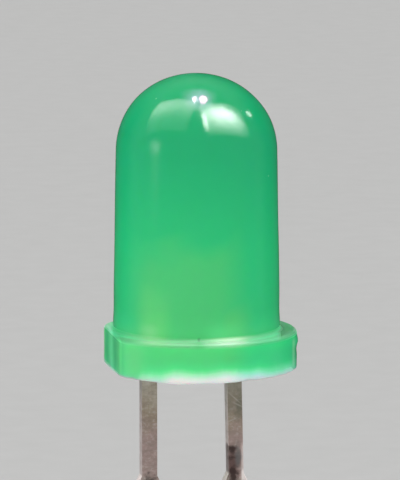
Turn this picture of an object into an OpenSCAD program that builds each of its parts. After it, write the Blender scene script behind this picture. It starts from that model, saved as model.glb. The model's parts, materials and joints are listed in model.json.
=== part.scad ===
// Through-hole indicator LED with a diffused green resin body.
// Millimetres. +Z points out of the dome and the leads run down along -Z.
// The origin is the centre of the seating plane, which is the flange's underside.
// The cathode lead and the flat on the flange are on the -X side.

/* [Resin body] */
// Height of the resin body, from the seating plane to the top of the dome
lens_h = 8.75; // [8:0.05:9.4]
// Diameter of the straight shank above the flange
shank_d = 4.9; // [4.7:0.02:5.1]
// Length of the straight shank above the flange
shank_len = 1.2; // [0.8:0.1:2]
// Mould draft of the body above the shank, in degrees a side
draft = 1; // [0.5:0.05:1.5]
// How far from the axis the centre of the arc at the dome's shoulder lies
shoulder_offset = 0.1; // [0.02:0.01:0.18]
// How much larger the radius of the dome's crown is than the radius of its shoulder
crown_extra = 0.27; // [0.2:0.01:0.6]

/* [Flange] */
// Diameter of the flange
flange_d = 5.92; // [5.7:0.02:6.3]
// Thickness of the flange
flange_h = 1.15; // [0.9:0.05:1.4]
// How far the cathode flat stands outside the shank
flat_step = 0.06; // [0:0.01:0.1]
// Radius of the fillet between the shank and the flange
root_r = 0.1; // [0.06:0.01:0.14]
// Radius of the flange's outer edges
edge_r = 0.08; // [0.04:0.01:0.14]

/* [Underside] */
// Width of the flat seating rim where it is narrowest, at the cathode flat
rim_w = 0.2; // [0.1:0.02:0.4]
// Depth of the hollow that the cast resin leaves inside the rim
dish_depth = 0.12; // [0.04:0.01:0.2]
// How far the resin creeps down each lead below the seating plane
wick_drop = 0.12; // [0.04:0.01:0.2]
// How far the resin spreads around a lead's corners at the seating plane
wick_spread = 0.14; // [0.06:0.01:0.2]

/* [Leads] */
// Distance between the centres of the two leads
pitch = 2.54; // [2.4:0.01:2.7]
// Width of a lead, along X
lead_w = 0.46; // [0.4:0.01:0.52]
// Thickness of the lead frame's sheet, along Y
sheet_t = 0.44; // [0.38:0.01:0.5]
// Length of the cathode lead below the seating plane
cathode_len = 26; // [20:0.5:30]
// Length of the anode lead below the seating plane
anode_len = 27.5; // [20:0.5:32]
// Distance from the seating plane down to the stubs of the sheared dam bar
stub_z = 3.2; // [1.5:0.1:5]
// Height of the dam bar's stubs, slants included
stub_h = 1.2; // [0.8:0.05:1.6]
// Width across the two stubs of one lead
stub_w = 0.8; // [0.64:0.02:1]
// Height of the slant at each end of a stub
stub_slant = 0.36; // [0.1:0.02:0.38]
// How far the anode lead has been spread outwards by the time it reaches its stub
anode_spread = 0.07; // [0:0.01:0.15]
// How far the whole lead frame sits to one side of the resin's axis
frame_shift = -0.18; // [-0.2:0.01:0.2]

/* [Lead frame heads] */
// Height at which both heads start to widen, inside the resin
head_z = 0.75; // [0.6:0.05:1]
// Height of the slant that widens a head
head_slant = 0.3; // [0.2:0.05:0.5]
// Distance from the frame's centre to the outer shoulder of each head
shoulder_x = 1.75; // [1.6:0.05:1.9]
// How much each head narrows on its outer side, from the shoulder to its top
head_taper = 0.25; // [0.1:0.01:0.3]
// Height of the anvil, which carries the cup, above the seating plane
anvil_z = 3.55; // [3.3:0.05:4]
// Distance from the frame's centre to the inner side of the anvil's stem
anvil_stem_x = 0.7; // [0.55:0.05:0.85]
// Height of the anvil's stem, up to where it spreads below the cup
anvil_stem_z = 1.9; // [1.5:0.05:2.1]
// Height of the block that the cup stands on
anvil_block_h = 0.35; // [0.2:0.05:0.5]
// Height of the anode post, where the bond wire lands
post_z = 3.9; // [3.6:0.05:4.2]
// Distance from the frame's centre to the inner side of the post's wide foot
post_foot_x = 0.42; // [0.3:0.02:0.6]
// Height of the post's wide foot
post_foot_z = 1.6; // [1.4:0.05:1.8]
// Distance from the frame's centre to the inner side of the post's top
post_top_x = 0.95; // [0.86:0.01:1.05]
// Height at which the post has narrowed to its top
post_neck_z = 2.9; // [2.5:0.05:3.3]

/* [Reflector cup] */
// Outer diameter of the cup
cup_d = 1.16; // [1.08:0.02:1.3]
// Height of the cup's wall above the anvil
cup_h = 0.5; // [0.42:0.02:0.7]
// Height of the cone that blends the sheet into the cup
cup_blend = 0.35; // [0.2:0.05:0.5]
// Diameter of the cup's mouth
mouth_d = 0.96; // [0.84:0.02:1]
// Diameter of the cup's floor
floor_d = 0.56; // [0.52:0.01:0.66]
// Depth of the cup
cup_depth = 0.32; // [0.24:0.01:0.36]

/* [Chip and bond wire] */
// Side of the square chip
die_w = 0.26; // [0.2:0.01:0.3]
// Height of the chip
die_h = 0.24; // [0.15:0.01:0.3]
// Diameter of the adhesive spot under the chip
attach_d = 0.46; // [0.44:0.01:0.5]
// Thickness of the adhesive spot
attach_t = 0.025; // [0.01:0.005:0.04]
// Diameter of the bond wire
wire_d = 0.03; // [0.02:0.002:0.04]
// Diameter of the ball on the chip and of the foot on the post
bond_d = 0.09; // [0.06:0.01:0.12]
// Height of the ball and of the foot
bond_h = 0.03; // [0.02:0.005:0.05]

/* [Hidden] */
$fn = 96;

// Resin body
shank_r = shank_d / 2;
flange_r = flange_d / 2;
shank_top = flange_h + shank_len;
flat_x = shank_r + flat_step;
// The dome is a shoulder arc, tangent to the drafted wall, and a flatter crown arc up to lens_h.
// The two arcs meet tangentially, on the line through both their centres.
centre_rise = sqrt(crown_extra * crown_extra - shoulder_offset * shoulder_offset);
wall_run = lens_h - crown_extra + centre_rise - shank_top;
shoulder_r = (shank_r - shoulder_offset - wall_run * tan(draft)) * cos(draft) / (1 - sin(draft));
crown_r = shoulder_r + crown_extra;
crown_z = lens_h - crown_r;
shoulder_z = crown_z + centre_rise;
// Corner of a triangle that holds the crown's sector
sector_scale = 2 * crown_r / crown_extra;
// Radius of the sphere that hollows the underside between the rim's inner edges
dish_a = flat_x - rim_w;
dish_r = (dish_a * dish_a + dish_depth * dish_depth) / (2 * dish_depth);

// Leads
lead_x = pitch / 2;
lead_corner = norm([lead_w, sheet_t]) / 2;
wick_tip_margin = 0.02;

// Cup, chip and wire
cup_top = anvil_z + cup_h;
cup_floor = cup_top - cup_depth;
die_z = cup_floor + attach_t;
die_top = die_z + die_h;
post_top_outer = shoulder_x - head_taper;
post_mid = (post_top_x + post_top_outer) / 2;
// The wire leaves the ball and enters the foot at half their height
wire_drop = die_top - post_z;
rise_r = (post_mid - wire_drop) / 2;
fall_r = (post_mid + wire_drop) / 2;

// Half section of the resin: x is the radius and y is the height
module resin_section() {
    difference() {
        union() {
            // Flange, with its outer edges rounded
            square([flange_r - edge_r, flange_h]);
            translate([0, edge_r])
                square([flange_r, flange_h - 2 * edge_r]);
            for (y = [edge_r, flange_h - edge_r])
                translate([flange_r - edge_r, y])
                    circle(edge_r);
            // Shank and drafted wall
            polygon([
                [0, 0],
                [shank_r, 0],
                [shank_r, shank_top],
                [shoulder_offset + shoulder_r * cos(draft), shoulder_z + shoulder_r * sin(draft)],
                [shoulder_offset, shoulder_z],
                [0, crown_z]
            ]);
            // Dome: its shoulder, then its crown
            intersection() {
                translate([shoulder_offset, shoulder_z])
                    circle(shoulder_r);
                translate([0, shoulder_z])
                    square([shoulder_offset + shoulder_r, shoulder_r]);
            }
            intersection() {
                translate([0, crown_z])
                    circle(crown_r);
                translate([0, crown_z])
                    polygon([
                        [0, 0],
                        [sector_scale * shoulder_offset, sector_scale * centre_rise],
                        [0, 2 * crown_r]
                    ]);
            }
            // Fillet at the root of the shank
            difference() {
                translate([shank_r, flange_h])
                    square(root_r);
                translate([shank_r + root_r, flange_h + root_r])
                    circle(root_r);
            }
        }
        translate([0, dish_depth - dish_r])
            circle(dish_r, $fn = 720);
    }
}

// Outline of one lead below its head: centre line at x = 0, spread outwards by lean at the stub
module leg_outline(length, lean) {
    stub_end = stub_z + stub_h;
    polygon([
        [-lead_w / 2, head_z],
        [-lead_w / 2, 0],
        [lean - lead_w / 2, -stub_z],
        [lean - stub_w / 2, -stub_z - stub_slant],
        [lean - stub_w / 2, -stub_end + stub_slant],
        [lean - lead_w / 2, -stub_end],
        [lean - lead_w / 2, -length],
        [lean + lead_w / 2, -length],
        [lean + lead_w / 2, -stub_end],
        [lean + stub_w / 2, -stub_end + stub_slant],
        [lean + stub_w / 2, -stub_z - stub_slant],
        [lean + lead_w / 2, -stub_z],
        [lead_w / 2, 0],
        [lead_w / 2, head_z]
    ]);
}

// Anvil on the cathode side: a stem at the lead that spreads over to the frame's centre
module anvil_outline() {
    polygon([
        [-lead_x - lead_w / 2, head_z],
        [-shoulder_x, head_z + head_slant],
        [-shoulder_x + head_taper, anvil_z],
        [cup_d / 2, anvil_z],
        [cup_d / 2, anvil_z - anvil_block_h],
        [-anvil_stem_x, anvil_stem_z],
        [-anvil_stem_x, head_z + head_slant],
        [-lead_x + lead_w / 2, head_z]
    ]);
}

// Post on the anode side: wide at its foot and narrow where the wire lands
module post_outline() {
    polygon([
        [lead_x + lead_w / 2, head_z],
        [shoulder_x, head_z + head_slant],
        [post_top_outer, post_z],
        [post_top_x, post_z],
        [post_top_x, post_neck_z],
        [post_foot_x, post_foot_z],
        [post_foot_x, head_z + head_slant],
        [lead_x - lead_w / 2, head_z]
    ]);
}

// An outline in X and Z, stamped from the lead frame's sheet
module stamped() {
    rotate([90, 0, 0])
        linear_extrude(height = sheet_t, center = true)
            children();
}

// Reflector cup on the frame's centre, with the cone that blends it into the sheet
module cup() {
    rotate_extrude()
        polygon([
            [0, anvil_z - cup_blend],
            [sheet_t / 2, anvil_z - cup_blend],
            [cup_d / 2, anvil_z],
            [cup_d / 2, cup_top],
            [mouth_d / 2, cup_top],
            [floor_d / 2, cup_floor],
            [0, cup_floor]
        ]);
}

// A quarter turn of the bond wire, of radius r, about the centre at x and z
module wire_quarter(r, x, z, start) {
    translate([x, 0, z])
        rotate([90, 0, 0])
            rotate_extrude(angle = 90, start = start)
                translate([r, 0])
                    circle(d = wire_d, $fn = 24);
}

module cathode_shape() {
    translate([frame_shift, 0, 0]) {
        stamped() {
            translate([-lead_x, 0])
                leg_outline(cathode_len, 0);
            anvil_outline();
        }
        cup();
    }
}

module anode_shape() {
    translate([frame_shift, 0, 0])
        stamped() {
            translate([lead_x, 0])
                leg_outline(anode_len, anode_spread);
            post_outline();
        }
}

module die_shape() {
    translate([frame_shift - die_w / 2, -die_w / 2, die_z])
        cube([die_w, die_w, die_h]);
}

module attach_shape() {
    translate([frame_shift, 0, cup_floor])
        cylinder(h = attach_t, d = attach_d);
}

module wire_shape() {
    translate([frame_shift, 0, 0]) {
        translate([0, 0, die_top])
            cylinder(h = bond_h, d = bond_d, $fn = 32);
        wire_quarter(rise_r, rise_r, die_top + bond_h / 2, 90);
        wire_quarter(fall_r, rise_r, post_z + bond_h / 2, 0);
        translate([post_mid, 0, post_z])
            cylinder(h = bond_h, d = bond_d, $fn = 32);
    }
}

// Cast resin: it fills every gap around the lead frame, the chip and the wire
module lens() {
    color([0.18, 0.7, 0.42, 0.9])
        difference() {
            union() {
                difference() {
                    rotate_extrude()
                        resin_section();
                    translate([-flange_d - flat_x, -flange_d, -flange_h])
                        cube([flange_d, 2 * flange_d, 3 * flange_h]);
                }
                for (side = [-1, 1])
                    translate([frame_shift + side * lead_x, 0, -wick_drop])
                        cylinder(
                            h = wick_drop + dish_depth,
                            r1 = lead_corner + wick_tip_margin,
                            r2 = lead_corner + wick_spread
                        );
            }
            cathode_shape();
            anode_shape();
            die_shape();
            attach_shape();
            wire_shape();
        }
}

module cathode_lead() {
    color([0.66, 0.63, 0.6])
        cathode_shape();
}

module anode_lead() {
    color([0.66, 0.63, 0.6])
        anode_shape();
}

module led_die() {
    color([0.85, 0.55, 0.2])
        die_shape();
}

module die_attach() {
    color([0.75, 0.75, 0.72])
        attach_shape();
}

module bond_wire() {
    color([0.9, 0.72, 0.3])
        wire_shape();
}

lens();
cathode_lead();
anode_lead();
led_die();
die_attach();
bond_wire();
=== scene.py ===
import json
import math

import bmesh
import bpy
from mathutils import Matrix, Vector, noise


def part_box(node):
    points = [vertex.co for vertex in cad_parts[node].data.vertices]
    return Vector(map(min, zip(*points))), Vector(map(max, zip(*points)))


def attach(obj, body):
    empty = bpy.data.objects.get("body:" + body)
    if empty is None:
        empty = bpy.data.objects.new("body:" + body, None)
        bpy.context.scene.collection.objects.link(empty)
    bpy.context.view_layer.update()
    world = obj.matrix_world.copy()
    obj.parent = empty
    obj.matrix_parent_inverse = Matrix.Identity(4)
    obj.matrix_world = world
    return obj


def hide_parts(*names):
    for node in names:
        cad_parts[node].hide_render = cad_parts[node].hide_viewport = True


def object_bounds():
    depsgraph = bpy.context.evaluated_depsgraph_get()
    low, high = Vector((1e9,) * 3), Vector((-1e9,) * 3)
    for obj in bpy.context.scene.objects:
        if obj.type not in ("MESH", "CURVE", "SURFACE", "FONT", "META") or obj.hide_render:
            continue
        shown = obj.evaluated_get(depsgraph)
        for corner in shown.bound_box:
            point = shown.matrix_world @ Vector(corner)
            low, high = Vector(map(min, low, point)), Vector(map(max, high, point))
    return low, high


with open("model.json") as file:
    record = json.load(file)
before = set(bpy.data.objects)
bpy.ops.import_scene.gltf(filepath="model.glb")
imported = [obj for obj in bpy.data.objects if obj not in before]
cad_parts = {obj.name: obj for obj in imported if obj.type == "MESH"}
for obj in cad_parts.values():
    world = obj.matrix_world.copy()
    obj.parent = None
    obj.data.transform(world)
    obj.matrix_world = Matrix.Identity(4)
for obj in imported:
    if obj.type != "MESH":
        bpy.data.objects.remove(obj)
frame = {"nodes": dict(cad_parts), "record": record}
cad_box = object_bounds()

MM = 0.001
MOUNTS = {mount["name"]: mount for mount in frame["record"]["mounts"]}

# ---- Sizes, in millimetres, read from the frame where it states them

LENS_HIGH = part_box("lens")[1] / MM
CHIP_LOW, CHIP_HIGH = (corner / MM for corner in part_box("led_die"))
LENS_H = LENS_HIGH.z
FLANGE_R = LENS_HIGH.x
FLAT_X = -MOUNTS["cathode_flat"]["pos_m"][0] / MM
FLANGE_H = MOUNTS["panel_shoulder"]["pos_m"][2] / MM
SHANK_R = MOUNTS["panel_shank"]["dims"]["r_mm"]
SHANK_TOP = (MOUNTS["panel_shank"]["pos_m"][2] / MM
             + MOUNTS["panel_shank"]["dims"]["length_mm"] / 2)
# The middle of the lead frame, below the chip, and the leads' distance from it
FRAME_X = (CHIP_LOW.x + CHIP_HIGH.x) / 2
LEAD_X = 1.27
# Half of a lead's width and thickness
LEAD_HALF_W = 0.23
LEAD_HALF_T = 0.22
# Roundings: the shank's root, the flange's upper edge and the two corners of the flat
ROOT_R = 0.12
EDGE_R = 0.12
FRONT_CORNER = 0.22
BACK_CORNER = 0.03
# The underside: the seating rim's inner edge, the hollow, and the resin crept down the leads
RIM_R = FLAT_X - 0.2
DISH_DEPTH = 0.12
WICK_DROP = 0.12
WICK_SPREAD = 0.16
# The dome: a shoulder arc that leaves the drafted wall, and a flatter crown arc
DRAFT = math.radians(1)
SHOULDER_OFFSET = 0.10
CROWN_EXTRA = 0.27
CENTRE_RISE = math.sqrt(CROWN_EXTRA ** 2 - SHOULDER_OFFSET ** 2)
WALL_RUN = LENS_H - CROWN_EXTRA + CENTRE_RISE - SHANK_TOP
SHOULDER_R = ((SHANK_R - SHOULDER_OFFSET - WALL_RUN * math.tan(DRAFT))
              * math.cos(DRAFT) / (1 - math.sin(DRAFT)))
CROWN_R = SHOULDER_R + CROWN_EXTRA
CROWN_Z = LENS_H - CROWN_R
SHOULDER_Z = CROWN_Z + CENTRE_RISE

# ---- Camera: its turn and tilt, and sizes in millimetres

CAMERA_TURN = math.radians(-10.47)
CAMERA_TILT = math.radians(8.33)
CAMERA_DISTANCE = 150.0
FRAME_HEIGHT = 14.16
# The point that the camera looks at
AIM_RIGHT = 0.103
AIM_HEIGHT = 3.79

# The camera's own directions
CAMERA_RIGHT = Vector((math.cos(CAMERA_TURN), math.sin(CAMERA_TURN), 0))
CAMERA_BACK = Vector((
    math.sin(CAMERA_TURN) * math.cos(CAMERA_TILT),
    -math.cos(CAMERA_TURN) * math.cos(CAMERA_TILT),
    math.sin(CAMERA_TILT),
))
CAMERA_UP = CAMERA_BACK.cross(CAMERA_RIGHT)
LEVEL_BACK = Vector((CAMERA_BACK.x, CAMERA_BACK.y, 0))
# Direction of the camera round the object's axis, as an angle from +X
FRONT = math.atan2(CAMERA_BACK.y, CAMERA_BACK.x)


# ---- Node building

class Paint:
    """One material's node tree, whose methods add nodes and return their output socket."""

    def __init__(self, name):
        self.material = bpy.data.materials.new(name)
        self.material.use_nodes = True
        self.tree = self.material.node_tree
        self.shader = self.tree.nodes["Principled BSDF"]
        # The point being painted, in millimetres in the part's frame
        scale = self.add("VectorMath", Vector=self.add("TexCoord").outputs["Object"])
        scale.operation = "SCALE"
        scale.inputs["Scale"].default_value = 1 / MM
        self.point = scale.outputs["Vector"]
        self.x, self.y, self.z = self.add("SeparateXYZ", Vector=self.point).outputs

    def plug(self, value, socket):
        """Links an output to the socket, or sets the socket to a plain value."""
        if isinstance(value, bpy.types.NodeSocket):
            self.tree.links.new(value, socket)
        else:
            socket.default_value = value

    def fill(self, node, sockets):
        """Sets or links a node's sockets, named with _ for a space."""
        for name, value in sockets.items():
            self.plug(value, node.inputs[name.replace("_", " ")])

    def add(self, kind, **sockets):
        """A new node of one kind, with sockets as fill takes them."""
        node = self.tree.nodes.new("ShaderNode" + kind)
        self.fill(node, sockets)
        return node

    def math(self, operation, *values):
        node = self.add("Math")
        node.operation = operation
        for value, socket in zip(values, node.inputs):
            self.plug(value, socket)
        return node.outputs[0]

    def plus(self, *values):
        result = values[0]
        for value in values[1:]:
            result = self.math("ADD", result, value)
        return result

    def less(self, first, second):
        return self.math("SUBTRACT", first, second)

    def inverse(self, value):
        return self.less(1.0, value)

    def times(self, *values):
        result = values[0]
        for value in values[1:]:
            result = self.math("MULTIPLY", result, value)
        return result

    def most(self, first, second):
        return self.math("MAXIMUM", first, second)

    def step(self, value, start, end):
        """Runs smoothly from 0 at start to 1 at end; start may be the larger."""
        low, high = (0, 1) if start < end else (1, 0)
        node = self.add("MapRange", Value=value, From_Min=min(start, end), From_Max=max(start, end),
                        To_Min=low, To_Max=high)
        node.interpolation_type = "SMOOTHSTEP"
        return node.outputs["Result"]

    def step_linear(self, value, start, end):
        """Runs straight from 0 at start to 1 at end."""
        share = self.math("DIVIDE", self.less(value, start), end - start)
        return self.math("MINIMUM", self.most(share, 0), 1)

    def facing(self):
        """The parts of the surface's direction along x, y and z."""
        normal = self.add("NewGeometry").outputs["Normal"]
        return self.add("SeparateXYZ", Vector=normal).outputs

    def band(self, value, low, high, soft):
        """1 between low and high, fading to 0 over soft on both sides."""
        return self.times(self.step(value, low - soft, low + soft),
                          self.step(value, high + soft, high - soft))

    def bell(self, value, centre, width):
        """1 at centre, fading to 0 at width on both sides."""
        return self.step(self.math("ABSOLUTE", self.less(value, centre)), width, 0)

    def length(self, first, second):
        """Length of the diagonal of two sides at right angles."""
        return self.math("SQRT", self.plus(self.times(first, first), self.times(second, second)))

    def radius(self, x, y):
        """Distance from the upright line through x and y."""
        return self.length(self.less(self.x, x), self.less(self.y, y))

    def along(self, direction):
        """Distance along a direction of the part's own frame."""
        node = self.add("VectorMath", Vector=self.point)
        node.operation = "DOT_PRODUCT"
        node.inputs[1].default_value = direction
        return node.outputs["Value"]

    def stretch(self, factors):
        """The point, multiplied by factors that draw a texture out."""
        node = self.add("VectorMath", Vector=self.point)
        node.operation = "MULTIPLY"
        node.inputs[1].default_value = factors
        return node.outputs["Vector"]

    def noise(self, scale, detail=3.0, factors=(1, 1, 1), roughness=0.5):
        return self.add("TexNoise", Vector=self.stretch(factors), Scale=scale, Detail=detail,
                        Roughness=roughness).outputs["Fac"]

    def swing(self, *texture):
        """Noise that swings about 0."""
        return self.less(self.noise(*texture), 0.5)

    def specks(self, scale, low, high):
        """1 at the centres of scattered cells, 0 elsewhere."""
        cells = self.add("TexVoronoi", Vector=self.point, Scale=scale)
        return self.step(cells.outputs["Distance"], high, low)

    def blot(self, x, z, wide, tall, ragged):
        """1 in a ragged spot on a lead's face, 0 outside it."""
        off = self.length(self.math("DIVIDE", self.less(self.x, x), wide),
                          self.math("DIVIDE", self.less(self.z, z), tall))
        return self.step(self.plus(off, ragged), 1.45, 0.35)

    def mix(self, factor, first, second):
        node = self.add("Mix")
        node.data_type = "RGBA"
        self.plug(factor, node.inputs["Factor"])
        self.plug(first, node.inputs[6])
        self.plug(second, node.inputs[7])
        return node.outputs[2]

    def over(self, base, colour, *shares):
        """The base, covered by a colour by the product of the shares."""
        return self.mix(self.times(*shares), base, colour)

    def tint(self, base, tone, *shares):
        """The base, multiplied by a tone by the product of the shares."""
        mixed = self.over(base, tone, *shares)
        mixed.node.blend_type = "MULTIPLY"
        return mixed

    def ramp(self, value, stops):
        node = self.add("ValToRGB", Fac=value)
        set_stops(node, stops)
        return node.outputs["Color"]

    def bump(self, height, distance):
        """Bumps the surface by a height, over a distance in millimetres."""
        node = self.add("Bump", Distance=distance * MM, Height=height)
        self.set(Normal=node.outputs["Normal"])

    def set(self, **sockets):
        """Sets or links the shader's own sockets."""
        self.fill(self.shader, sockets)


def set_stops(ramp, stops):
    """Gives a colour ramp its stops of place and colour."""
    points = ramp.color_ramp.elements
    while len(points) < len(stops):
        points.new(0.5)
    for point, (place, colour) in zip(points, stops):
        point.position = place
        point.color = colour


def grey_stops(levels):
    """Stops of place and level as stops of place and grey."""
    return [(place, (level, level, level, 1)) for place, level in levels]


# ---- Resin material

# Colour of the resin from the seating plane to the top of the dome
RESIN_COLOURS = [
    (0.00, (0.080, 0.74, 0.300, 1)),
    (0.07, (0.076, 0.71, 0.284, 1)),
    (0.11, (0.072, 0.64, 0.252, 1)),
    (0.16, (0.058, 0.61, 0.238, 1)),
    (0.22, (0.036, 0.560, 0.210, 1)),
    (0.42, (0.024, 0.560, 0.210, 1)),
    (0.62, (0.015, 0.490, 0.196, 1)),
    (0.72, (0.013, 0.450, 0.190, 1)),
    (0.80, (0.011, 0.395, 0.168, 1)),
    (1.00, (0.012, 0.390, 0.155, 1)),
]
# Height and colour of the frosted lip across the front, whitened in part by painted glow, over this
# far on each side of the axis
FROST_REACH = 3
FROST_GLOW_LEVELS = [(0.20, 0.0), (0.24, 0.50), (0.33, 0.60), (0.385, 0.90), (0.43, 0.90),
                (0.49, 0.78), (0.55, 0.78), (0.63, 0.94), (0.70, 0.94), (0.76, 0.72),
                (0.80, 0.82), (0.87, 0.42)]
FROST_GLOW_COLOURS = [(0.32, (0.54, 1.0, 0.66, 1)), (0.38, (0.81, 1.0, 0.80, 1)),
                 (0.66, (0.81, 1.0, 0.86, 1)), (0.74, (0.54, 1.0, 0.84, 1))]
# Colour of the painted highlights on the ledge and fillet
PAINTED_HIGHLIGHT_COLOUR = (0.74, 0.95, 0.72, 1)
# Painted highlights and shade in streaks down the cathode flat: distance behind its middle, width,
# strength and colour
FLAT_HIGHLIGHT_AND_SHADE = [
    (0.92, 0.35, 0.5, (0.036, 0.50, 0.200, 1)),
    (0.22, 0.62, 0.76, (0.180, 1.0, 0.450, 1)),
    (-0.50, 0.30, 0.12, (0.045, 0.50, 0.200, 1)),
    (1.52, 0.24, 0.8, (0.420, 0.90, 0.500, 1)),
]


class ResinPaint(Paint):
    """The resin's node tree, with the measures and masks that its layers share."""

    def __init__(self, name):
        super().__init__(name)
        # Distances to the camera's right, towards the camera and out from the axis
        self.across = self.along(CAMERA_RIGHT)
        self.front = self.along(Vector((math.cos(FRONT), math.sin(FRONT), 0)))
        self.out = self.radius(0, 0)
        # 1 on the side that faces the camera
        self.seen = self.step(self.front, 0.3, 1.4)
        self.ragged = self.swing(1.7, 3.0, (1, 1, 0.4))
        # The ledge round the shank, its outer rim, its upper side and the fillet above it
        on_ledge = self.step(self.out, SHANK_R + 0.02, SHANK_R + 0.06)
        self.on_rim = self.step(self.out, SHANK_R + 0.12, SHANK_R + 0.36)
        self.ledge = self.times(self.step(self.z, FLANGE_H - 0.18, FLANGE_H - 0.02),
                                self.step(self.z, FLANGE_H + 0.06, FLANGE_H), on_ledge)
        self.top_side = self.times(
            self.band(self.z, FLANGE_H - 0.06, FLANGE_H + 0.06, 0.03), on_ledge)
        self.fillet = self.band(self.z, FLANGE_H + 0.01, FLANGE_H + 0.11, 0.03)
        # The ends of the ledge: dull at the anode, a trace deeper at the cathode
        self.dull = self.times(self.top_side, self.step(self.across, 2.35, 2.50), 0.8)
        self.deep = self.times(self.top_side, self.step(self.across, -1.95, -2.15), 0.15)


def resin_colour(paint):
    """Green by height, with the filler's clouds, and painted shade deepening the barrel's sides as
    the camera sees them.
    """
    body = paint.ramp(paint.math("DIVIDE", paint.z, LENS_H), RESIN_COLOURS)
    body = paint.over(body, (0.03, 0.55, 0.22, 1), paint.noise(0.9, 2.0), 0.12)
    # Painted shade at the barrel's sides, as the camera sees them
    painted_side_shade = paint.most(paint.bell(paint.across, -1.95, 0.55), paint.bell(paint.across, 1.75, 0.60))
    return paint.tint(body, (0.60, 1, 1, 1), painted_side_shade,
                      paint.step(paint.z, FLANGE_H + 0.1, FLANGE_H + 0.5))


def frame_glow(paint, body):
    """Light that the lead frame throws back: anvil and stem on the left, post on the right."""
    across = paint.across
    level = paint.plus(paint.z, paint.times(paint.swing(0.8, 1.0), 1.6))
    anvil = paint.times(paint.band(across, -1.75, 1.1, 0.55), paint.step(level, 4.35, 3.2), 0.62)
    foot = paint.times(paint.band(across, 0.60, 1.45, 0.40), paint.band(paint.z, 0.3, 2.1, 0.5),
                       0.9)
    body = paint.over(body, (0.120, 0.58, 0.190, 1), paint.most(anvil, foot), 0.8)
    body = paint.over(body, (0.120, 0.72, 0.270, 1), paint.band(across, 0.40, 1.30, 0.30),
                      paint.band(paint.z, 1.1, 1.6, 0.25), 0.6)
    return paint.over(body, (0.150, 0.66, 0.215, 1), paint.band(across, -1.60, -0.85, 0.28),
                      paint.step(level, 3.2, 1.6),
                      paint.step(paint.z, FLANGE_H - 0.2, FLANGE_H + 0.1), 0.75)


def anode_side(paint, body):
    """The flange turns darker and bluer towards the anode side as the camera sees it, as painted
    shade, and paler low down there.
    """
    body = paint.over(body, (0.030, 0.60, 0.245, 1), paint.step(paint.across, 0.5, 1.9),
                      paint.step(paint.z, FLANGE_H, FLANGE_H - 0.2), 0.7)
    return paint.over(body, (0.170, 0.72, 0.420, 1), paint.step(paint.across, 1.0, 1.7),
                      paint.step(paint.z, 0.42, 0.22), 0.7)


def frost_and_glow_lip(paint, body):
    """Frosted lip of the casting's open side, tallest and whitest at the front: frost, made whiter
    by painted glow on the side that faces the camera.

    Returns the colour and the share of frost and painted glow.
    """
    place = paint.step_linear(paint.across, -FROST_REACH, FROST_REACH)
    tall = paint.times(paint.ramp(place, grey_stops(FROST_GLOW_LEVELS)), paint.seen)
    scallops = paint.swing(4.5, 2.0, (1, 1, 0.3))
    lift = paint.plus(paint.z, paint.times(paint.ragged, 0.09), paint.times(scallops, 0.05),
                      paint.times(paint.inverse(tall), 0.30))
    outside = paint.step(paint.out, 2.0, 2.4)
    body = paint.over(body, (0.100, 0.90, 0.345, 1), paint.step(lift, 0.75, 0.20), outside, 0.70)
    # Frost, painted whiter by a glow of light through it on the side facing the camera
    amount = paint.plus(paint.times(paint.step(tall, 0.0, 0.4), 0.8), 0.2)
    frost_and_glow = paint.times(paint.step(lift, 0.51, 0.07), outside, amount)
    return paint.mix(frost_and_glow, body, paint.ramp(place, FROST_GLOW_COLOURS)), frost_and_glow


def ledge_tones(paint, body):
    """The flange's upper edge: painted shade over its highlight, deeper beside the flat, and duller
    at the anode end with a painted highlight along its edge.
    """
    # Painted shade along the upper edge, toning down its highlight
    body = paint.tint(body, (0.95, 0.66, 0.69, 1),
                      paint.band(paint.z, FLANGE_H - 0.11, FLANGE_H + 0.03, 0.06), paint.on_rim)
    # Painted shade where the ledge merges into the flange, beside the flat
    body = paint.tint(body, (0.88, 0.74, 0.68, 1),
                      paint.band(paint.z, FLANGE_H - 0.06, FLANGE_H + 0.06, 0.04),
                      paint.step(paint.across, -1.55, -2.20), paint.on_rim, paint.seen)
    # More painted shade at the far left, beside the flat's corner
    body = paint.tint(body, (0.74, 0.76, 0.74, 1),
                      paint.band(paint.z, FLANGE_H - 0.14, FLANGE_H + 0.04, 0.05),
                      paint.step(paint.across, -2.10, -2.30), paint.seen)
    # The anode end, duller, with a painted highlight along its edge
    body = paint.mix(paint.dull, body, (0.140, 0.43, 0.225, 1))
    body = paint.over(body, (0.42, 0.66, 0.48, 1), paint.top_side,
                      paint.step(paint.across, 2.35, 2.50), paint.step(paint.front, 0.6, 0.0),
                      paint.step(paint.out, FLANGE_R - 0.10, FLANGE_R - 0.05), 0.6)
    return paint.mix(paint.deep, body, (0.030, 0.38, 0.145, 1))


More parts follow.
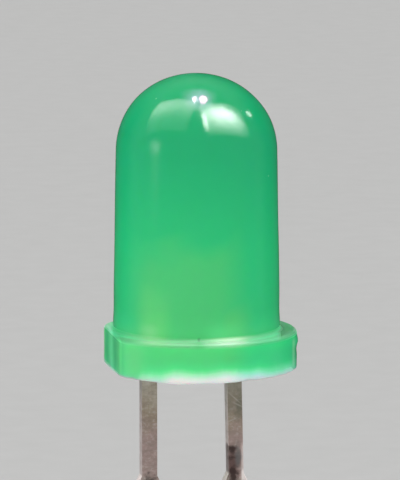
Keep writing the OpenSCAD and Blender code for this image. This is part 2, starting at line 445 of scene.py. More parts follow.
def ledge_highlights(paint, body):
    """Painted highlights on ledge and fillet, strongest at the front right, a faint one on the
    barrel above at the left, and one dark chip.
    """
    across, seen = paint.across, paint.seen
    streaky = paint.plus(1.0, paint.times(paint.swing(2.2, 3.0, (1, 1, 7)), 1.2))
    low = paint.plus(paint.times(paint.band(across, -1.60, 1.80, 0.35), 0.10),
                     paint.times(paint.band(across, 0.40, 1.35, 0.38), 0.22))
    high = paint.plus(paint.times(paint.band(across, -2.00, -0.95, 0.20), 0.10),
                      paint.times(paint.band(across, 0.45, 1.45, 0.34), 0.30))
    gap = paint.inverse(paint.times(paint.bell(across, 0.08, 0.25), 0.7))
    # Painted highlights, streaky, along the ledge and the fillet
    streak = paint.most(paint.times(paint.ledge, low), paint.times(paint.fillet, high))
    body = paint.over(body, PAINTED_HIGHLIGHT_COLOUR, streak, seen, streaky, gap)
    body = paint.over(body, (0.95, 1.0, 0.92, 1), paint.band(across, 0.62, 1.35, 0.25), seen,
                      streaky, paint.band(paint.z, FLANGE_H - 0.01, FLANGE_H + 0.05, 0.03), 0.32)
    body = paint.over(body, PAINTED_HIGHLIGHT_COLOUR, paint.bell(across, -1.38, 0.42), seen,
                      paint.band(paint.z, FLANGE_H + 0.05, FLANGE_H + 0.40, 0.15), 0.12)
    return paint.over(body, (0.015, 0.22, 0.080, 1), paint.bell(across, 0.07, 0.06), seen,
                      paint.bell(paint.z, FLANGE_H + 0.07, 0.08), 0.7)


def edge_highlights(paint, body):
    """Painted highlights: a pale line down the anode end of the flange, and at the far corner of
    the flat.
    """
    body = paint.over(body, (0.60, 0.90, 0.66, 1), paint.bell(paint.across, 2.86, 0.07),
                      paint.band(paint.z, 0.15, 0.95, 0.10), paint.step(paint.front, 0.0, 0.5),
                      0.25)
    return paint.over(body, (0.34, 0.52, 0.38, 1), paint.step(paint.across, -2.42, -2.62),
                      paint.step(paint.z, FLANGE_H - 0.18, FLANGE_H - 0.06), 0.5)


def flat_tones(paint, body):
    """The cathode flat: streaks of painted highlight and shade, a pale hem, and a warmer front lit
    by painted light, beside warmer flange.
    """
    flat = paint.times(paint.step(paint.x, 0.035 - FLAT_X, -FLAT_X),
                       paint.step(paint.z, FLANGE_H, FLANGE_H - 0.12))
    place = paint.plus(paint.y, paint.times(paint.ragged, 0.3))
    for centre, width, strength, colour in FLAT_HIGHLIGHT_AND_SHADE:
        body = paint.over(body, colour, flat, paint.bell(place, centre, width), strength)
    body = paint.over(body, (0.480, 0.90, 0.600, 1), flat, paint.step(paint.z, 0.085, 0.025), 0.55)
    # Painted light, brighter towards the flat's front corner
    body = paint.over(body, (0.170, 0.95, 0.350, 1), flat, paint.step(paint.y, -0.65, -1.40), 0.65)
    return paint.over(body, (0.180, 0.62, 0.235, 1), paint.band(paint.across, -2.22, -1.55, 0.30),
                      paint.step(paint.z, FLANGE_H, 1.0), paint.seen, 0.5)


def resin_material():
    """Diffused green resin, paler where the lead frame inside throws light back."""
    paint = ResinPaint("diffused_green_resin")
    body = resin_colour(paint)
    body = frame_glow(paint, body)
    body = anode_side(paint, body)
    body, frost_and_glow = frost_and_glow_lip(paint, body)
    body = ledge_tones(paint, body)
    body = ledge_highlights(paint, body)
    body = edge_highlights(paint, body)
    body = flat_tones(paint, body)
    # A few tiny bubbles
    body = paint.over(body, (0.45, 0.90, 0.60, 1), paint.specks(0.8, 0.008, 0.028), 0.35)
    fine = paint.noise(7.0, 3.0)
    rough_ledge = paint.most(paint.less(paint.ledge, paint.most(paint.dull, paint.deep)),
                         paint.times(paint.fillet, 0.70))
    paint.set(Base_Color=body, IOR=1.5, Specular_IOR_Level=0.3, Subsurface_Weight=1.0,
              Subsurface_Scale=1.2 * MM, Subsurface_Radius=(0.35, 1.0, 0.6),
              Roughness=paint.plus(paint.times(fine, 0.04), 0.07,
                                   paint.times(paint.most(frost_and_glow, rough_ledge), 0.70)))
    paint.bump(paint.plus(paint.noise(1.3, 2.0), paint.times(fine, 0.05)), 0.01)
    return paint.material


# ---- Materials of the leads

# Colour of the leads over the painted length, from its lower end up to the resin
LEAD_PAINTED = 7.0
LEAD_COLOURS = [
    (0.00, (0.44, 0.395, 0.350, 1)),
    (0.48, (0.43, 0.375, 0.330, 1)),
    (0.56, (0.46, 0.345, 0.320, 1)),
    (0.68, (0.46, 0.340, 0.315, 1)),
    (0.82, (0.40, 0.325, 0.245, 1)),
    (0.93, (0.52, 0.465, 0.390, 1)),
    (1.00, (0.53, 0.495, 0.425, 1)),
]
# Scratches: place from the lead's middle, height and slope
LEAD_SCRATCHES = [(0.0, -0.95, -0.9), (0.1, -1.15, -0.5), (-0.1, -1.60, 0.4)]
SMEAR_COLOUR = (0.125, 0.078, 0.072, 1)


class LeadPaint(Paint):
    """A lead's node tree, with the textures and masks that its layers share.

    lead_x is the lead's place across the part, and stained the strength of its marks.
    """

    def __init__(self, name, lead_x, stained):
        super().__init__(name)
        self.lead_x = lead_x
        self.stained = stained
        self.patches = self.noise(1.6, 4.0, (1, 1, 0.7))
        self.smudge = self.noise(3.4, 5.0, (0.8, 0.8, 2.0), 0.65)
        self.ragged = self.times(self.swing(5.0, 4.0), 3.0)
        # The front face, and its share of the marks
        self.front = self.step(self.y, 0.0, -0.12)
        self.marked = self.times(self.front, stained)
        # The sheared edges, the left one alone, and the slants of the stubs, which get a painted
        # highlight
        side_x, _, side_z = self.facing()
        self.edge = self.step(self.math("ABSOLUTE", side_x), 0.25, 0.85)
        self.left_edge = self.step(side_x, -0.25, -0.85)
        upward = self.step(self.math("ABSOLUTE", side_z), 0.10, 0.25)
        self.lit_slant = self.times(self.edge, upward, 0.55)


def lead_skin(paint, shade):
    """Dull, handled tin: grain, smudges and pits. shade darkens it near the resin."""
    height = paint.plus(paint.z, paint.times(paint.less(paint.patches, 0.5), 2.2))
    colour = paint.ramp(paint.step_linear(height, -LEAD_PAINTED, 0), LEAD_COLOURS)
    grain = paint.noise(9.0, 3.0, (2.6, 2.6, 0.25))
    pits = paint.noise(11.0, 3.0)
    for texture, start, end, strength, tone in (
            (grain, 0.42, 0.62, 0.12, (0.27, 0.225, 0.20, 1)),
            (paint.smudge, 0.40, 0.68, 0.45, (0.27, 0.230, 0.195, 1)),
            (paint.smudge, 0.42, 0.28, 0.35, (0.68, 0.620, 0.600, 1)),
            (pits, 0.50, 0.70, 0.20, (0.22, 0.185, 0.165, 1)),
            (pits, 0.47, 0.30, 0.22, (0.78, 0.71, 0.68, 1))):
        colour = paint.over(colour, tone, paint.step(texture, start, end), strength)
    return paint.over(colour, (0.20, 0.205, 0.165, 1), paint.step(paint.z, -1.7, -1.2), shade)


def lead_scratches(paint, colour):
    """A painted shadow and scratches on the upper part of the front face."""
    # Painted shadow, dark and greenish, on the upper right of the front face
    painted_shadow = paint.blot(paint.lead_x + 0.13, -1.20, 0.11, 0.42, paint.ragged)
    colour = paint.over(colour, (0.150, 0.160, 0.120, 1), painted_shadow, paint.marked, 0.45)
    for x, z, slope in LEAD_SCRATCHES:
        off = paint.less(paint.x, paint.lead_x + x)
        level = paint.less(paint.z, paint.plus(z, paint.times(off, slope)))
        colour = paint.over(colour, (0.72, 0.68, 0.63, 1), paint.bell(level, 0, 0.045),
                            paint.bell(off, 0, 0.28), paint.marked, 0.30)
    return colour


def lead_stains(paint, colour, stub_spot):
    """Stains above the stub, and the dark spot of the stub itself.

    Returns the colour and the share of the darkest stain.
    """
    x, ragged = paint.lead_x, paint.ragged
    smooth = paint.times(ragged, 0.4)
    colour = paint.over(colour, SMEAR_COLOUR, paint.blot(x - 0.08, -2.92, 0.24, 0.52, smooth),
                        paint.marked, 0.93)
    colour = paint.over(colour, (0.150, 0.150, 0.150, 1),
                        paint.blot(x + 0.09, -2.68, 0.10, 0.36, smooth), paint.marked, 0.75)
    stain = paint.most(paint.blot(x - 0.09, -2.47, 0.15, 0.14, smooth),
                       paint.blot(x - 0.10, -2.73, 0.12, 0.07, ragged))
    stain = paint.most(stain, paint.blot(x - 0.05, -3.22, 0.16, 0.22, ragged))
    spot = paint.blot(stub_spot[0], stub_spot[1], 0.26, 0.22, ragged)
    stain = paint.most(paint.times(stain, paint.marked), paint.times(spot, paint.front, 0.8))
    return paint.over(colour, (0.040, 0.027, 0.025, 1), stain, 0.9), stain


def lead_edges(paint, colour):
    """The sheared edges: pale as wear and as painted light, brightest on the slants as a painted
    highlight, and darker on the left edge beside the stains.

    Returns the colour and the share of the painted highlight along the front's right edge.
    """
    edge_wear_and_light = paint.inverse(paint.times(paint.step(paint.smudge, 0.40, 0.66), 0.45))
    # Pale sheared edges: wear, and painted light
    colour = paint.over(colour, (0.64, 0.545, 0.525, 1), paint.edge, edge_wear_and_light)
    # Painted highlight on the upward slants of the stubs
    colour = paint.mix(paint.lit_slant, colour, (0.78, 0.71, 0.69, 1))
    level = paint.plus(paint.z, paint.times(paint.ragged, 0.08))
    colour = paint.over(colour, SMEAR_COLOUR, paint.left_edge,
                        paint.band(level, -3.17, -2.34, 0.07), paint.stained, 0.84)
    strength = paint.plus(paint.times(paint.band(paint.z, -3.45, -2.35, 0.15), 0.45),
                          paint.times(paint.band(paint.z, -3.45, -3.10, 0.08), 0.45))
    # Painted highlight along the front's right edge
    painted_edge_highlight = paint.times(paint.step(paint.x, paint.lead_x + 0.170, paint.lead_x + 0.225),
                         paint.marked, strength)
    return paint.mix(painted_edge_highlight, colour, (0.80, 0.73, 0.71, 1)), painted_edge_highlight


def lead_material(name, lead_x, shade, stained, stub_spot):
    """Tinned steel with a dull, handled skin and pale sheared edges, partly painted light."""
    paint = LeadPaint(name, lead_x, stained)
    colour = lead_skin(paint, shade)
    colour = lead_scratches(paint, colour)
    colour, stain = lead_stains(paint, colour, stub_spot)
    colour, painted_edge_highlight = lead_edges(paint, colour)
    # Less metallic where the pale edge paint and the painted highlights lie
    matt_share = paint.plus(paint.times(painted_edge_highlight, 0.8), paint.times(
        paint.edge, paint.plus(0.35, paint.times(paint.lit_slant, 0.4))))
    paint.set(
        Base_Color=colour,
        Metallic=paint.inverse(paint.math("MINIMUM", matt_share, 1.0)),
        Roughness=paint.plus(paint.times(paint.patches, 0.18), 0.28, paint.lit_slant,
                             paint.times(stain, 0.3)),
    )
    paint.bump(paint.plus(paint.times(paint.smudge, 0.8), paint.patches), 0.008)
    return paint.material


# ---- Other materials

def chip_material():
    """Sawn semiconductor with a round gold contact on its top face."""
    paint = Paint("sawn_chip")
    centre = (CHIP_LOW + CHIP_HIGH) / 2
    grain = paint.noise(30.0, 3.0, (1, 1, 3))
    colour = paint.mix(grain, (0.42, 0.24, 0.06, 1), (0.62, 0.40, 0.14, 1))
    contact = paint.times(paint.step(paint.radius(centre.x, centre.y), 0.072, 0.066),
                          paint.step(paint.z, CHIP_HIGH.z - 0.004, CHIP_HIGH.z - 0.002))
    paint.set(Base_Color=paint.mix(contact, colour, (0.85, 0.60, 0.22, 1)), Metallic=contact,
              Roughness=paint.plus(0.3, paint.times(grain, 0.15)))
    paint.bump(grain, 0.002)
    return paint.material


def adhesive_material():
    """Silver-filled adhesive with a flaky, matt surface."""
    paint = Paint("silver_adhesive")
    flakes = paint.specks(60.0, 0.05, 0.5)
    paint.set(Base_Color=paint.mix(flakes, (0.42, 0.42, 0.40, 1), (0.70, 0.70, 0.67, 1)),
              Metallic=0.6, Roughness=paint.less(0.6, paint.times(flakes, 0.25)))
    paint.bump(flakes, 0.004)
    return paint.material


def wire_material():
    """Drawn gold wire."""
    paint = Paint("drawn_gold")
    lines = paint.noise(80.0, 2.0, (1, 6, 1))
    paint.set(Base_Color=paint.mix(lines, (0.80, 0.52, 0.16, 1), (0.95, 0.70, 0.30, 1)),
              Metallic=1.0, Roughness=paint.plus(0.16, paint.times(lines, 0.12)))
    paint.bump(lines, 0.0006)
    return paint.material


def floor_material():
    """Plain pale floor with a faint tooth."""
    paint = Paint("pale_floor")
    tooth = paint.noise(0.5, 3.0)
    paint.set(Base_Color=paint.mix(tooth, (0.49, 0.49, 0.485, 1), (0.53, 0.53, 0.525, 1)),
              Roughness=0.9, Specular_IOR_Level=0.0)
    return paint.material


# ---- Geometry helpers

def arc(centre, radius, start, end, steps):
    """Points on an arc about centre, from start to end in degrees, both ends included."""
    points = []
    for i in range(steps + 1):
        angle = math.radians(start + (end - start) * i / steps)
        points.append((centre[0] + radius * math.cos(angle), centre[1] + radius * math.sin(angle)))
    return points


def line(start, end, steps):
    """Points from start to end, without the start."""
    return [(start[0] + (end[0] - start[0]) * i / steps, start[1] + (end[1] - start[1]) * i / steps)
            for i in range(1, steps + 1)]


def smooth_min(a, b, k):
    """The smaller of a and b, blended where they differ by less than k."""
    blend = max(k - abs(a - b), 0) / k
    return min(a, b) - blend * blend * k / 4


def bell(value, centre, width):
    """1 at centre, falling off evenly on both sides."""
    return math.exp(-((value - centre) / width) ** 2)


def ease(share):
    """A share kept between 0 and 1, with a smooth start and end."""
    share = min(max(share, 0), 1)
    return share * share * (3 - 2 * share)


def plateau(value, low, high, soft):
    """Near 1 between low and high, falling off over soft outside them."""
    rise = 1 / (1 + math.exp(-(value - low) / soft))
    fall = 1 / (1 + math.exp((value - high) / soft))
    return rise * fall


def turn_from_front(angle):
    """Degrees from the camera's direction to another direction round the axis."""
    return math.degrees((angle - FRONT + math.pi) % (2 * math.pi) - math.pi)


def link(item):
    """Puts an object into the scene."""
    bpy.context.scene.collection.objects.link(item)


def mesh_from(bm, name):
    """A mesh with what has been built, which frees the builder."""
    mesh = bpy.data.meshes.new(name)
    bm.to_mesh(mesh)
    bm.free()
    return mesh


def new_piece(name, mesh, material):
    """A piece of the part, which rides on its one body."""
    piece = bpy.data.objects.new(name, mesh)
    link(piece)
    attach(piece, "root")
    piece.data.materials.append(material)
    return piece


# ---- Resin body

# Columns round the axis, with more at each corner of the flat
RESIN_STEPS = 300
CORNER_STEPS = 6
CORNER_SPREAD = 1.4 * 2 * math.pi / RESIN_STEPS
# Steps down a column: crown, shoulder, drafted wall, shank, root, ledge, its edge, and side
CROWN_STEPS = 16
SHOULDER_STEPS = 34
WALL_STEPS = 26
SHANK_STEPS = 6
ROOT_STEPS = 7
LEDGE_STEPS = 3
EDGE_STEPS = 6
SIDE_STEPS = 12
RIM_STEPS = 3
# A ledge this narrow is all ramp, and over the next width the ramp gives way to crisp edges
RAMP_LEDGE = 0.07
RAMP_BLEND = 0.16
RAMP_RISE = 0.08
RAMP_FALL = 0.20
# Height where the flange's side ends and its lip begins
SIDE_LOW = 0.05
# The lip's section: distance in from the side, and share of its drop below the seating plane
LIP_WIDTH = 0.18
LIP_SECTION = [(0.002, 0.40), (0.010, 0.75), (0.030, 0.95), (0.060, 1.0), (0.100, 0.90),
               (0.140, 0.50), (LIP_WIDTH, 0.10)]
RIM_MARGIN = 0.04
# Rings of the underside inside its rim: the radius that each group ends at, and its steps
UNDERSIDE_RINGS = [(1.86, 5), (0.70, 32), (0.06, 7)]
# The dome leans and sinks by a hair, from one height on and fully over the next
DOME_LEAN = 0.016
LEAN_START = 7.2
LEAN_RUN = 1.1
# Inside this radius the casting's form is taken as true
CALM_R = 0.4


def flange_reach(angle):
    """How far the flange reaches from the axis in one direction: round, with the cathode flat."""
    away = -math.cos(angle)
    if away <= 0:
        return FLANGE_R
    corner = BACK_CORNER if math.sin(angle) > 0 else FRONT_CORNER
    return smooth_min(FLANGE_R, FLAT_X / away, corner)


def lip_drop(angle):
    """How far the ragged lip of the casting's open side hangs below the seating plane."""
    # Its high and low stretches lie at these places and widths in degrees
    turn = turn_from_front(angle)
    point = Vector((math.cos(angle), math.sin(angle), 0))
    lumps = noise.noise(point * 9.0) + 0.6 * noise.noise(point * 24.0 + Vector((3, 1, 2)))
    drop = 0.034 * plateau(turn, -24, 24, 2.5) - 0.032
    drop += 0.030 * bell(turn, -11, 7)
    drop -= 0.065 * bell(turn, -42, 9)
    drop -= 0.055 * bell(turn, 32, 6) + 0.038 * plateau(turn, 46, 80, 3)
    drop += 0.090 * plateau(turn, -118, -66, 5)
    return drop + (0.012 + 0.25 * abs(drop)) * lumps


def nick(angle, z):
    """The bead and the nick that the mould leaves on one side of the flange."""
    side = bell(turn_from_front(angle), 88, 14)
    bead = 0.042 * bell(z, 0.82, 0.11)
    notch = 0.012 * bell(z, 0.55, 0.14)
    return side * (bead - notch)


def underside(x, y, rim):
    """Height of the hollow underside, with the resin that has crept down the leads."""
    share = math.hypot(x, y) / rim
    z = DISH_DEPTH * (1 - share * share)
    for lead_x in (FRAME_X - LEAD_X, FRAME_X + LEAD_X):
        aside_x = max(abs(x - lead_x) - LEAD_HALF_W, 0)
        aside_y = max(abs(y) - LEAD_HALF_T, 0)
        near = max(1 - math.hypot(aside_x, aside_y) / WICK_SPREAD, 0)
        z -= (DISH_DEPTH + WICK_DROP) * near * near
    return z


def ledge_edge(angle):
    """Rounding of the flange's upper edge: crisp at the front, soft at the flat's far corner."""
    turn = turn_from_front(angle)
    return (EDGE_R - 0.075 * bell(turn, 10, 45) + 0.07 * bell(turn, -46, 14)
            + 0.05 * bell(turn, -70, 10) + 0.12 * bell(turn, -115, 16))


def ledge_profile(angle, reach):
    """Section from the foot of the shank over the ledge, which is a low ramp along the flat."""
    ledge = reach - SHANK_R
    root = min(ROOT_R, 0.55 * ledge)
    edge = min(ledge_edge(angle), 0.4 * ledge)
    crisp = arc((SHANK_R + root, FLANGE_H + root), root, 180, 270, ROOT_STEPS)[1:]
    crisp += line(crisp[-1], (reach - edge, FLANGE_H), LEDGE_STEPS)
    crisp += arc((reach - edge, FLANGE_H - edge), edge, 90, 0, EDGE_STEPS)[1:]
    share = min(max((ledge - RAMP_LEDGE) / RAMP_BLEND, 0), 1)
    points = []
    for i, (x, z) in enumerate(crisp):
        along = (i + 1) / len(crisp)
        ramp_x = SHANK_R + ledge * ease(along)
        ramp_z = FLANGE_H + RAMP_RISE - RAMP_FALL * along
        points.append((ramp_x + (x - ramp_x) * share, ramp_z + (z - ramp_z) * share))
    return points


def resin_profile(angle):
    """Section of the resin from the top of the dome to the inner edge of the seating rim."""
    reach = flange_reach(angle)
    drop = lip_drop(angle)
    meet = math.degrees(math.atan2(CENTRE_RISE, SHOULDER_OFFSET))
    draft = math.degrees(DRAFT)
    points = arc((0, CROWN_Z), CROWN_R, 90, meet, CROWN_STEPS)[1:]
    points += arc((SHOULDER_OFFSET, SHOULDER_Z), SHOULDER_R, meet, draft, SHOULDER_STEPS)[1:]
    points += line(points[-1], (SHANK_R, SHANK_TOP), WALL_STEPS)
    points += line(points[-1], (SHANK_R, FLANGE_H + ROOT_R), SHANK_STEPS)
    points += ledge_profile(angle, reach)
    points += line(points[-1], (reach, SIDE_LOW), SIDE_STEPS)
    points += [(reach - inset, -share * drop) for inset, share in LIP_SECTION]
    points += line(points[-1], (min(RIM_R, reach - LIP_WIDTH - RIM_MARGIN), 0), RIM_STEPS)
    return points


def underside_radii(rim):
    """Radii of the rings inside the rim, closest together where the leads come out."""
    radii = []
    start = rim
    for end, steps in UNDERSIDE_RINGS:
        radii += [start + (end - start) * i / steps for i in range(1, steps + 1)]
        start = end
    return radii


def wobble(x, y, z):
    """Small departures of the casting from its true form, in millimetres outwards."""
    point = Vector((x, y, z))
    low = 0.008 * noise.noise(point * 0.45)
    rim = bell(z, 0.3, 0.5) * 0.010 * noise.noise(point * 2.3)
    if math.hypot(x, y) > SHANK_R + 0.03:
        swell = 0.014
    else:
        swell = 0.020 * bell(z, FLANGE_H + 0.2, 0.25)
    return low + rim + swell


def dome_lean(x, y, z):
    """Where a point of the true form comes to lie as the dome leans and sinks."""
    lean = DOME_LEAN * ease((z - LEAN_START) / LEAN_RUN)
    return x - CAMERA_RIGHT.x * lean, y - CAMERA_RIGHT.y * lean, z - lean


def resin_angles():
    """Directions of the mesh's columns: even, with more at the corners of the cathode flat."""
    angles = [2 * math.pi * i / RESIN_STEPS for i in range(RESIN_STEPS)]
    half_flat = math.acos(FLAT_X / FLANGE_R)
    for corner in (math.pi - half_flat, math.pi + half_flat):
        angles = [angle for angle in angles if abs(angle - corner) > CORNER_SPREAD]
        for i in range(-CORNER_STEPS, CORNER_STEPS + 1):
            angles.append(corner + CORNER_SPREAD * i / CORNER_STEPS)
    return sorted(angles)


def resin_column(bm, angle):
    """One column of vertices, from the dome down and round to the middle of the underside."""
    column = []
    outside = resin_profile(angle)
    for radius, z in outside:
        x, y = radius * math.cos(angle), radius * math.sin(angle)
        out = wobble(x, y, z) + nick(angle, z) if radius > CALM_R else 0
        spread = 1 + out / max(radius, CALM_R)
        x, y, z = dome_lean(x * spread, y * spread, z)
        column.append(bm.verts.new((x * MM, y * MM, z * MM)))
    rim = outside[-1][0]
    for radius in underside_radii(rim):
        x, y = radius * math.cos(angle), radius * math.sin(angle)
        column.append(bm.verts.new((x * MM, y * MM, underside(x, y, rim) * MM)))
    return column


def resin_mesh():
    """The columns joined round the axis and closed at the top and the bottom."""
    bm = bmesh.new()
    columns = [resin_column(bm, angle) for angle in resin_angles()]
    top = bm.verts.new(Vector(dome_lean(0, 0, LENS_H)) * MM)
    bottom = bm.verts.new((0, 0, DISH_DEPTH * MM))
    for i, here in enumerate(columns):
        there = columns[(i + 1) % len(columns)]
        bm.faces.new((top, here[0], there[0]))
        for j in range(len(here) - 1):
            bm.faces.new((here[j], here[j + 1], there[j + 1], there[j]))
        bm.faces.new((bottom, there[-1], here[-1]))
    for face in bm.faces:
        face.smooth = True
    bm.normal_update()
    return mesh_from(bm, "resin_body")


def make_resin():
    piece = new_piece("resin_body", resin_mesh(), resin_material())
    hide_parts("lens")


# ---- Leads

# Rounding of the edges, the sharpest turn that stays as it is, and the shortest edge rounded
LEAD_EDGE = 0.035
SHARP_TURN = math.radians(24)
SHORTEST_EDGE = 0.09
# Points this close in metres are one, and faces this nearly level with each other are merged
WELD_DISTANCE = 1e-7
LEVEL_TURN = math.radians(0.5)


def make_lead(node, name, material):
    """The stamped lead with its edges rounded over, as tinning leaves them."""
    bm = bmesh.new()
    bm.from_mesh(frame["nodes"][node].data)
    bmesh.ops.remove_doubles(bm, verts=bm.verts, dist=WELD_DISTANCE)
    bmesh.ops.dissolve_limit(bm, angle_limit=LEVEL_TURN, verts=bm.verts, edges=bm.edges)
    sharp = [edge for edge in bm.edges
             if len(edge.link_faces) == 2 and edge.calc_face_angle(0) > SHARP_TURN
             and edge.calc_length() > SHORTEST_EDGE * MM]
    bmesh.ops.bevel(bm, geom=sharp, offset=LEAD_EDGE * MM, segments=3, profile=0.55,
                    affect="EDGES", clamp_overlap=True)
    for face in bm.faces:
        face.smooth = True
    bmesh.ops.recalc_face_normals(bm, faces=bm.faces)
    piece = new_piece(name, mesh_from(bm, name), material)
    piece.modifiers.new("flat_faces", "WEIGHTED_NORMAL")
    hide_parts(node)


def dress_node(node, material):
    """A carried CAD node with its own material."""
    piece = frame["nodes"][node]
    piece.data.materials.clear()
    piece.data.materials.append(material)


# ---- Stage: floor, world, lamps and camera

# Radius of the floor in metres, and how bright the surroundings look and light the part
FLOOR_RADIUS = 1.5
BACKGROUND = 0.55
AMBIENT = 1.0


def make_floor():
    """A round floor under the part's lowest point."""
    bm = bmesh.new()
    bmesh.ops.create_circle(bm, cap_ends=True, segments=96, radius=FLOOR_RADIUS)
    floor = bpy.data.objects.new("floor", mesh_from(bm, "floor"))
    floor.location.z = cad_box[0].z
    floor.data.materials.append(floor_material())
    link(floor)


def make_world():
    """Even pale surroundings, darker to the camera and in reflections than as a light."""
    world = bpy.data.worlds.new("studio")
    bpy.context.scene.world = world
    world.use_nodes = True
    tree = world.node_tree
    rays = tree.nodes.new("ShaderNodeLightPath")
    seen = rays.outputs["Is Camera Ray"]
    for kind in ("Is Glossy Ray", "Is Transmission Ray"):
        either = tree.nodes.new("ShaderNodeMath")
        either.operation = "MAXIMUM"
        tree.links.new(seen, either.inputs[0])
        tree.links.new(rays.outputs[kind], either.inputs[1])
        seen = either.outputs[0]
    shade = tree.nodes.new("ShaderNodeMix")
    shade.data_type = "RGBA"
    tree.links.new(seen, shade.inputs["Factor"])
    shade.inputs[6].default_value = (AMBIENT, AMBIENT, AMBIENT, 1)
    shade.inputs[7].default_value = (BACKGROUND, BACKGROUND, BACKGROUND, 1)
    tree.links.new(shade.outputs[2], tree.nodes["Background"].inputs["Color"])


def from_camera(right, up, back):
    """A direction given as the camera sees it."""
    return CAMERA_RIGHT * right + CAMERA_UP * up + CAMERA_BACK * back


# Distance in metres of the lamps from the dome's centre, which their sizes are shares of
LAMP_DISTANCE = 0.30
DOME_CENTRE = Vector((0, 0, CROWN_Z)) * MM
# Stops of light that is strongest in the middle
MIDDLE = [(0.0, 0.0), (0.5, 1.0), (1.0, 0.0)]


def grade_panel(data, rise, sweep):
    """Grades a panel's light by stops: rise from bottom to top, sweep from left to right."""
    data.use_nodes = True
    tree = data.node_tree
    place = tree.nodes.new("ShaderNodeNewGeometry")
    split = tree.nodes.new("ShaderNodeSeparateXYZ")
    tree.links.new(place.outputs["Parametric"], split.inputs[0])
    both = tree.nodes.new("ShaderNodeMath")
    both.operation = "MULTIPLY"
    for side, stops, socket in (("Y", rise, both.inputs[0]), ("X", sweep, both.inputs[1])):
        ramp = tree.nodes.new("ShaderNodeValToRGB")
        tree.links.new(split.outputs[side], ramp.inputs[0])
        set_stops(ramp, grey_stops(stops))
        tree.links.new(ramp.outputs[0], socket)
    tree.links.new(both.outputs[0], tree.nodes["Emission"].inputs["Strength"])


def make_panel(name, centre, frame_axes, size, radiance, rise=None, sweep=None,
               colour=(1, 1, 1)):
    """A flat lamp for the gloss alone, placed as the camera sees it.

    frame_axes are the directions of its width and height; without them it faces the dome.
    With rise and sweep it is a graded rectangle, without them an even ellipse.
    """
    place = from_camera(*centre) * LAMP_DISTANCE
    if frame_axes:
        side = from_camera(*frame_axes[0]).normalized()
        height = from_camera(*frame_axes[1])
        height = (height - side * height.dot(side)).normalized()
    else:
        side = CAMERA_UP.cross(place).normalized()
        height = place.cross(side).normalized()
    data = bpy.data.lights.new(name, "AREA")
    data.shape = "RECTANGLE" if rise else "ELLIPSE"
    data.size = size[0] * LAMP_DISTANCE
    data.size_y = size[1] * LAMP_DISTANCE
    area = data.size * data.size_y * (1 if rise else math.pi / 4)
    data.energy = radiance * area * math.pi
    data.color = colour
    if rise:
        grade_panel(data, rise, sweep)
    lamp = bpy.data.objects.new(name, data)
    lamp.matrix_world = (Matrix.Translation(DOME_CENTRE + place)
                         @ Matrix((side, height, side.cross(height))).transposed().to_4x4())
    lamp.visible_camera = False
    lamp.visible_diffuse = False
    link(lamp)


def make_key(name, centre, size, level):
    """A broad soft lamp that shades the part without showing in its gloss."""
    place = from_camera(*centre)
    data = bpy.data.lights.new(name, "AREA")
    data.shape = "DISK"
    data.size = size * LAMP_DISTANCE
    data.energy = level * math.pi * math.pi * LAMP_DISTANCE ** 2
    lamp = bpy.data.objects.new(name, data)
    lamp.location = DOME_CENTRE + place.normalized() * LAMP_DISTANCE
    lamp.rotation_mode = "QUATERNION"
    lamp.rotation_quaternion = (-place).to_track_quat("-Z", "Y")
    lamp.visible_camera = False
    lamp.visible_glossy = False
    link(lamp)


def make_windows():
    """The two windows that the dome reflects, with the glow and the frame of the right one."""
    right_axes = ((0.831, 0.010, -0.556), (-0.069, 0.995, -0.086))
    left_axes = ((0.880, -0.023, 0.475), (0.252, 0.870, -0.424))
    make_panel("window_right", (0.5595, 0.755, 0.283), right_axes, (1.017, 1.062), 38.0,
               [(0.0, 0.02), (0.10, 0.17), (0.17, 0.31), (0.25, 0.47), (0.34, 0.74),
                (0.50, 1.0), (0.66, 0.92), (0.82, 0.55), (1.0, 0.20)],
               [(0.0, 0.45), (0.09, 0.56), (0.16, 0.70), (0.27, 0.96), (0.55, 1.0),
                (0.70, 0.64), (0.86, 0.22), (1.0, 0.04)])
    make_panel("window_glow", (0.5595, 0.755, 0.283), right_axes, (1.44, 1.58), 9.5,
               [(0.0, 0.0), (0.45, 0.0), (0.60, 0.7), (0.88, 1.0), (0.94, 0.45), (1.0, 0.0)],
               [(0.0, 0.0), (0.10, 0.30), (0.18, 1.0), (0.68, 1.0), (0.88, 0.4), (1.0, 0.0)])
    make_panel("window_frame", (0.150, 0.600, 0.575), right_axes, (0.115, 0.60), 26.0,
               [(0.0, 0.1), (0.22, 0.65), (0.35, 1.0), (0.8, 1.0), (1.0, 0.4)],
               [(0.0, 0.0), (0.3, 1.0), (0.7, 1.0), (1.0, 0.0)])
    make_panel("window_left", (-0.528, 0.798, 0.216), left_axes, (1.065, 0.988), 8.0,
               [(0.0, 0.10), (0.12, 0.15), (0.22, 0.20), (0.30, 0.28), (0.40, 0.50),
                (0.55, 0.84), (0.66, 1.0), (0.82, 1.0), (1.0, 0.45)],
               [(0.0, 0.3), (0.12, 0.85), (0.28, 1.0), (0.92, 0.95), (1.0, 0.5)])


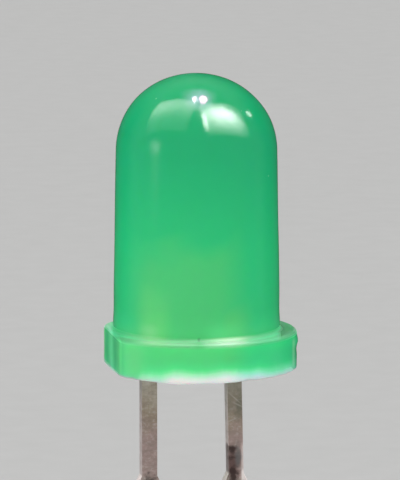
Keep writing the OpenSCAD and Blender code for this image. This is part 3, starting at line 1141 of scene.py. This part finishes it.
def make_spots():
    """The small lights near the top of the dome, their halo, and two lights on the barrel."""
    spot_axes = ((1, 0, 0), (0, 0.120, -0.993))
    make_panel("spot_left", (-0.024, 0.993, 0.124), spot_axes, (0.072, 0.22), 34.0,
               colour=(1.0, 0.75, 1.0))
    make_panel("spot_right", (0.128, 0.986, 0.112), spot_axes, (0.135, 0.29), 44.0,
               colour=(1.0, 0.45, 0.75))
    make_panel("halo", (0.060, 0.991, 0.121), spot_axes, (0.62, 0.90), 16.0, MIDDLE, MIDDLE,
               (0.75, 0.42, 1.0))
    # Nearer than the others, in front of the right black card
    make_panel("glint", (0.0767, 0.0604, -0.0214), None, (0.014, 0.0125), 11.0)
    make_panel("streak", (-0.862, 0.03, 0.490), None, (0.40, 0.44), 4.8,
               [(0.0, 0.12), (0.2, 0.35), (0.5, 0.8), (0.65, 1.0), (0.83, 0.7), (1.0, 0.0)],
               MIDDLE)


# The black cards: their scale and edges in millimetres, and their far and near ends, to the
# side and towards the camera, as shares of the scale
FLAG_NEAR = 12.0
FLAG_LOW = -6.4
FLAG_HIGH = 50.0
FLAG_ENDS = [(0, -3.2), (4.2, -0.2)]


def flag_material():
    """Black card whose near end and top thin out to nothing."""
    paint = Paint("dark_card")
    weave = paint.noise(0.4, 3.0)
    paint.set(Base_Color=paint.mix(weave, (0.010, 0.010, 0.010, 1), (0.016, 0.016, 0.016, 1)),
              Roughness=0.9)
    behind = paint.along(LEVEL_BACK)
    paint.set(Alpha=paint.times(paint.step(behind, -FLAG_NEAR * 0.2, -FLAG_NEAR * 1.6),
                                paint.step(paint.z, FLAG_HIGH, FLAG_HIGH * 0.4)))
    return paint.material


def make_flags():
    """Two black cards, seen only in the gloss, that keep the edges of the resin deep in colour."""
    material = flag_material()
    for name, side in (("flag_left", -1), ("flag_right", 1)):
        bm = bmesh.new()
        corners = []
        for right, back in FLAG_ENDS:
            spot = (CAMERA_RIGHT * right * side + LEVEL_BACK * back) * FLAG_NEAR
            for height in (FLAG_LOW, FLAG_HIGH):
                corners.append(bm.verts.new((spot.x * MM, spot.y * MM, height * MM)))
        bm.faces.new((corners[0], corners[2], corners[3], corners[1]))
        card = bpy.data.objects.new(name, mesh_from(bm, name))
        card.data.materials.append(material)
        card.visible_camera = False
        card.visible_diffuse = False
        card.visible_shadow = False
        link(card)


def make_camera():
    data = bpy.data.cameras.new("camera")
    data.lens = data.sensor_width * CAMERA_DISTANCE / FRAME_HEIGHT
    data.clip_start = 0.01
    data.clip_end = 10
    camera = bpy.data.objects.new("camera", data)
    aim = Vector((0, 0, AIM_HEIGHT)) + CAMERA_RIGHT * AIM_RIGHT
    camera.location = (aim + CAMERA_BACK * CAMERA_DISTANCE) * MM
    camera.rotation_mode = "QUATERNION"
    camera.rotation_quaternion = (-CAMERA_BACK).to_track_quat("-Z", "Y")
    link(camera)
    bpy.context.scene.camera = camera


# ---- The scene

bpy.context.scene.view_settings.view_transform = "Standard"
make_camera()
make_world()
make_key("key", (-0.25, 0.45, 0.85), 0.9, 0.32)
make_windows()
make_spots()
make_floor()
make_flags()
make_resin()
make_lead("cathode_lead", "tinned_cathode",
          lead_material("tin_cathode", FRAME_X - LEAD_X, 0.0, 0.0, (-1.45, -3.42)))
make_lead("anode_lead", "tinned_anode",
          lead_material("tin_anode", FRAME_X + LEAD_X + 0.03, 0.45, 1.0, (1.08, -3.50)))
dress_node("led_die", chip_material())
dress_node("die_attach", adhesive_material())
dress_node("bond_wire", wire_material())
